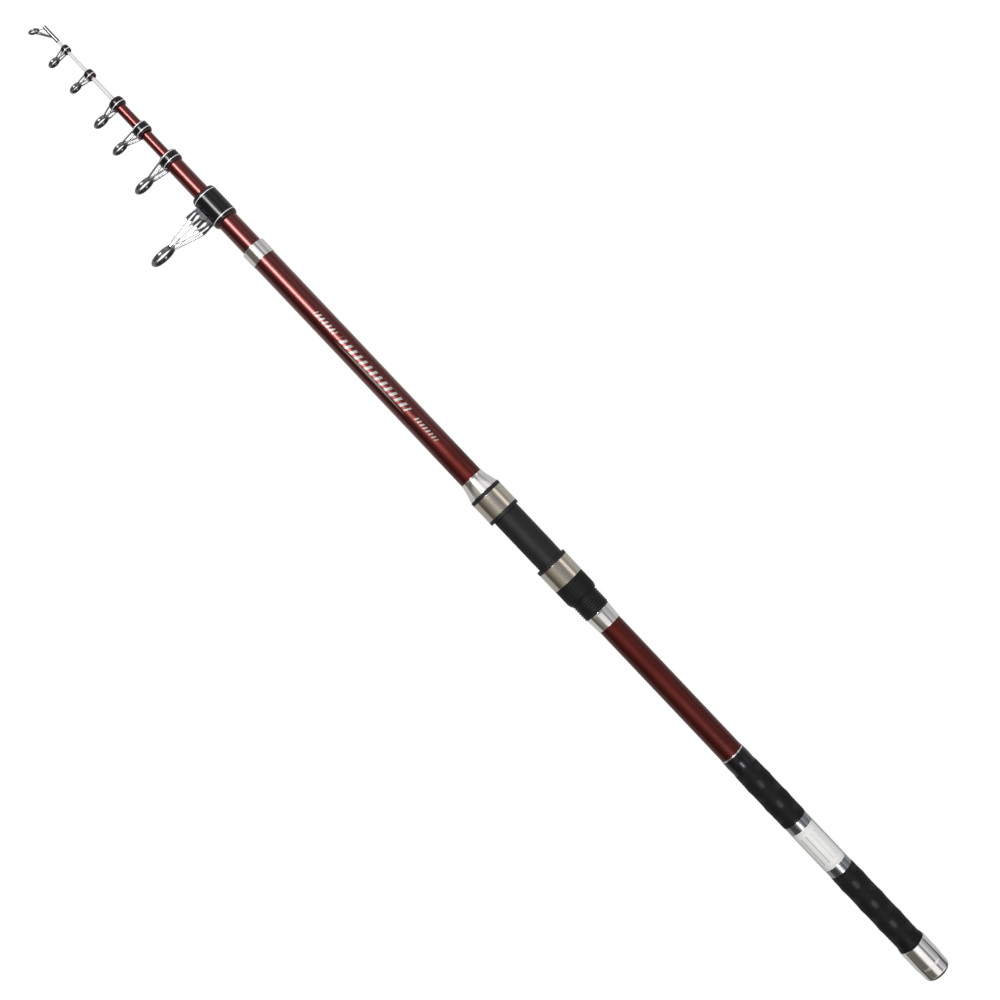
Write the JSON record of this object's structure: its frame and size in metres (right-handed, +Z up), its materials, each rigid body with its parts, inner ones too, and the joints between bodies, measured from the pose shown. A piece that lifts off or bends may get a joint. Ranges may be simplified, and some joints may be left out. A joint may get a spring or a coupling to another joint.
{
  "type": "telescopic fishing rod",
  "caption": "Closed telescopic surf rod with nested tapering sections that draw out, sliding ring guides, a screw-down reel seat, rubber grips and a screw butt cap.",
  "frame": {"origin": "centre of the butt cap's flat end face, on the rod's axis", "axes": "+X along the rod from butt to tip, +Y the side the line guides stand on, +Z up as the rod lies in the picture"},
  "size_m": [1.1341, 0.0901, 0.0312],
  "materials": {
    "burgundy_blank": "gloss varnish over burgundy glass fibre",
    "white_tip": "white solid glass, varnished",
    "black_varnish": "gloss black varnished whipping",
    "grip_rubber": "soft matt black rubber",
    "pad_rubber": "matt rubber",
    "polished_trim": "polished",
    "label_paper": "white, bare",
    "seat_moulding": "fine matt black moulding",
    "hood_steel": "brushed round the axis",
    "guide_steel": "polished",
    "ring_ceramic": "dark polished",
    "silver_band": "silver thread under varnish"
  },
  "bodies": {
    "butt_section": {"butt_blank": "burgundy_blank", "butt_thread_sleeve": "polished_trim", "butt_whipping": "black_varnish", "lower_grip": "grip_rubber", "grip_band": "polished_trim", "bare_label": "label_paper", "upper_grip": "grip_rubber", "grip_whipping": "black_varnish", "grip_ring": "polished_trim", "seat_ring": "polished_trim", "reel_seat": "seat_moulding", "fixed_hood_sleeve": "hood_steel", "seat_cone": "polished_trim", "top_ferrule": "polished_trim"},
    "second_section": {"second_blank": "burgundy_blank", "guide_1_frame": "guide_steel", "guide_1_insert": "ring_ceramic", "guide_1_collar": "black_varnish", "guide_1_bands": "silver_band"},
    "third_section": {"third_blank": "burgundy_blank", "guide_2_frame": "guide_steel", "guide_2_insert": "ring_ceramic", "guide_2_collar": "black_varnish", "guide_2_bands": "silver_band"},
    "fourth_section": {"fourth_blank": "burgundy_blank", "guide_4_frame": "guide_steel", "guide_4_insert": "ring_ceramic", "guide_4_collar": "black_varnish", "guide_4_bands": "silver_band"},
    "guide_3": {"guide_3_frame": "guide_steel", "guide_3_insert": "ring_ceramic", "guide_3_collar": "black_varnish", "guide_3_bands": "silver_band"},
    "tip_section": {"tip_blank": "white_tip", "tip_frame": "guide_steel", "tip_insert": "ring_ceramic"},
    "guide_5": {"guide_5_frame": "guide_steel", "guide_5_insert": "ring_ceramic", "guide_5_collar": "black_varnish", "guide_5_bands": "silver_band"},
    "guide_6": {"guide_6_frame": "guide_steel", "guide_6_insert": "ring_ceramic", "guide_6_collar": "black_varnish", "guide_6_bands": "silver_band"},
    "reel_hood": {"moving_hood": "seat_moulding", "moving_hood_sleeve": "hood_steel"},
    "reel_nut": {"lock_nut": "seat_moulding"},
    "rubber_pad": {"butt_pad": "pad_rubber"},
    "screw_cap": {"butt_cap": "polished_trim"}
  },
  "joints": [
    {"name": "second_section_slide", "type": "slide", "parent": "butt_section", "child": "second_section", "axis": [1, 0, 0], "range_m": [0, 0.7377]},
    {"name": "third_section_slide", "type": "slide", "parent": "second_section", "child": "third_section", "axis": [1, 0, 0], "range_m": [0, 0.8117]},
    {"name": "fourth_section_slide", "type": "slide", "parent": "third_section", "child": "fourth_section", "axis": [1, 0, 0], "range_m": [0, 0.8693]},
    {"name": "tip_section_slide", "type": "slide", "parent": "fourth_section", "child": "tip_section", "axis": [1, 0, 0], "range_m": [0, 0.953]},
    {"name": "guide_3_slide", "type": "slide", "parent": "fourth_section", "child": "guide_3", "axis": [1, 0, 0], "range_m": [-0.42, 0]},
    {"name": "guide_5_slide", "type": "slide", "parent": "tip_section", "child": "guide_5", "axis": [1, 0, 0], "range_m": [-0.62, 0]},
    {"name": "guide_6_slide", "type": "slide", "parent": "tip_section", "child": "guide_6", "axis": [1, 0, 0], "range_m": [-0.31, 0]},
    {"name": "reel_hood_slide", "type": "slide", "parent": "butt_section", "child": "reel_hood", "axis": [1, 0, 0], "range_m": [-0.0165, 0.008]},
    {"name": "reel_nut_turn", "type": "hinge", "parent": "reel_hood", "child": "reel_nut", "pos_m": [0.4482, 0, 0], "axis": [1, 0, 0], "range_deg": [-2376, 1152]},
    {"name": "butt_pad_slide", "type": "slide", "parent": "butt_section", "child": "rubber_pad", "axis": [1, 0, 0], "range_m": [-0.015, 0]},
    {"name": "butt_cap_turn", "type": "hinge", "parent": "rubber_pad", "child": "screw_cap", "pos_m": [0, 0, 0], "axis": [1, 0, 0], "range_deg": [-3600, 0]}
  ],
  "couplings": [
    {"joint": "guide_3_slide", "follows": "fourth_section_slide", "ratio": -0.48315},
    {"joint": "guide_5_slide", "follows": "tip_section_slide", "ratio": -0.65058},
    {"joint": "guide_6_slide", "follows": "tip_section_slide", "ratio": -0.32529},
    {"joint": "reel_hood_slide", "follows": "reel_nut_turn", "m_per_rad": 0.00039789},
    {"joint": "butt_pad_slide", "follows": "butt_cap_turn", "m_per_rad": 0.00023873}
  ]
}
